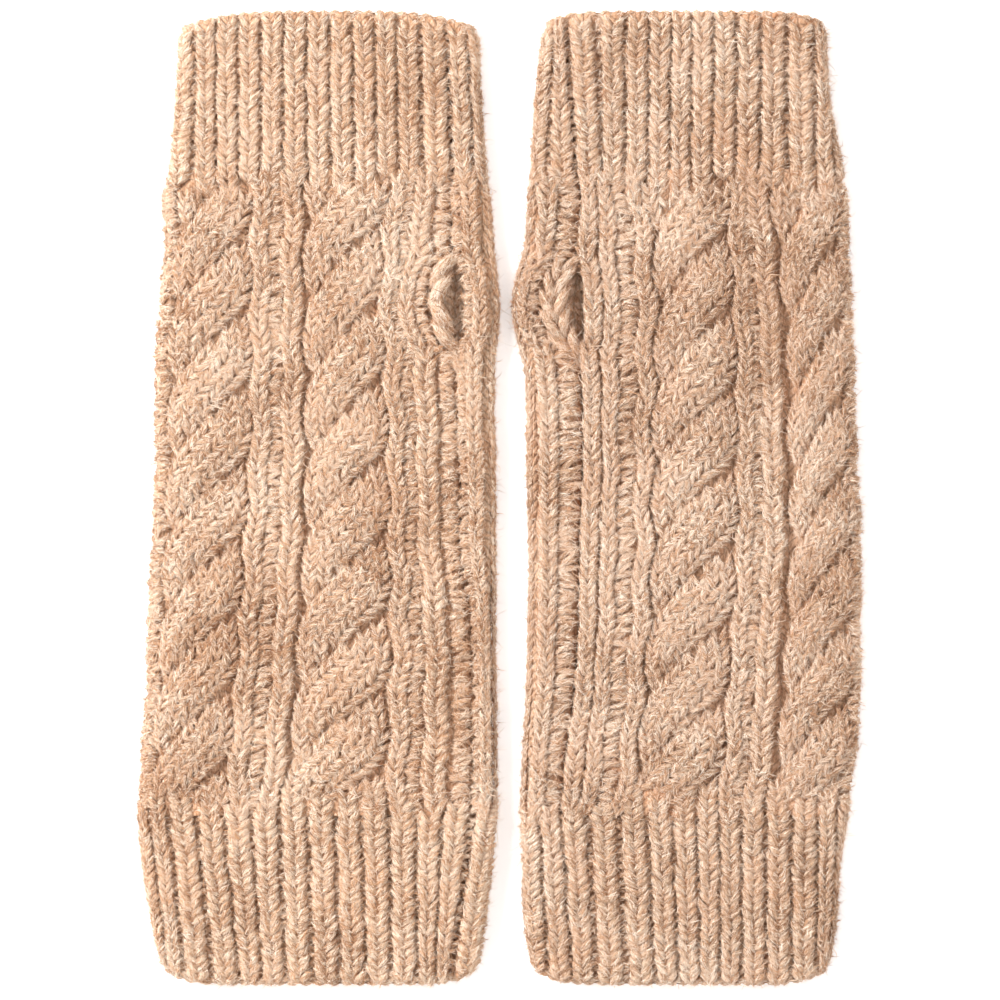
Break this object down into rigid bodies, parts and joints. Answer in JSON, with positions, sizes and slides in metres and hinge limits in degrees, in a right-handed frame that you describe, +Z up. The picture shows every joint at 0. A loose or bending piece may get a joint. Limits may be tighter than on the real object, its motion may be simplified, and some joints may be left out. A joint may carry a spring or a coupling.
{
  "type": "pair of fingerless cable-knit wrist warmers",
  "caption": "Long fingerless knitted wrist warmers laid flat side by side, with rope cables, ribbed cuffs and a thumb slit with a rolled rim.",
  "frame": {"origin": "on the surface that the pair lies on, under the middle of the pair's box", "axes": "+X across the pair from the left one to the right one, +Y from the arm end to the knuckle end, +Z up out of the surface"},
  "size_m": [0.2093, 0.2824, 0.011],
  "materials": {
    "rib_knit": "fuzzy wool-mix yarn in single rib, heathered oatmeal, matt",
    "cable_knit": "fuzzy wool-mix yarn in cables and rib, heathered oatmeal, matt",
    "rim_yarn": "rolled edge of the same yarn, a little lighter, matt"
  },
  "bodies": {
    "root": {"left_knuckle_cuff_back": "rib_knit", "left_knuckle_cuff_thumb_strip": "rib_knit", "left_knuckle_cuff_palm": "rib_knit", "left_cable_panel_back": "cable_knit", "left_cable_panel_thumb_band": "cable_knit", "left_cable_panel_thumb_strip": "cable_knit", "left_cable_panel_palm": "cable_knit", "left_arm_cuff_back": "rib_knit", "left_arm_cuff_thumb_strip": "rib_knit", "left_arm_cuff_palm": "rib_knit", "left_thumb_rim": "rim_yarn", "right_knuckle_cuff_back": "rib_knit", "right_knuckle_cuff_thumb_strip": "rib_knit", "right_knuckle_cuff_palm": "rib_knit", "right_cable_panel_back": "cable_knit", "right_cable_panel_thumb_band": "cable_knit", "right_cable_panel_thumb_strip": "cable_knit", "right_cable_panel_palm": "cable_knit", "right_arm_cuff_back": "rib_knit", "right_arm_cuff_thumb_strip": "rib_knit", "right_arm_cuff_palm": "rib_knit", "right_thumb_rim": "rim_yarn"}
  },
  "joints": []
}
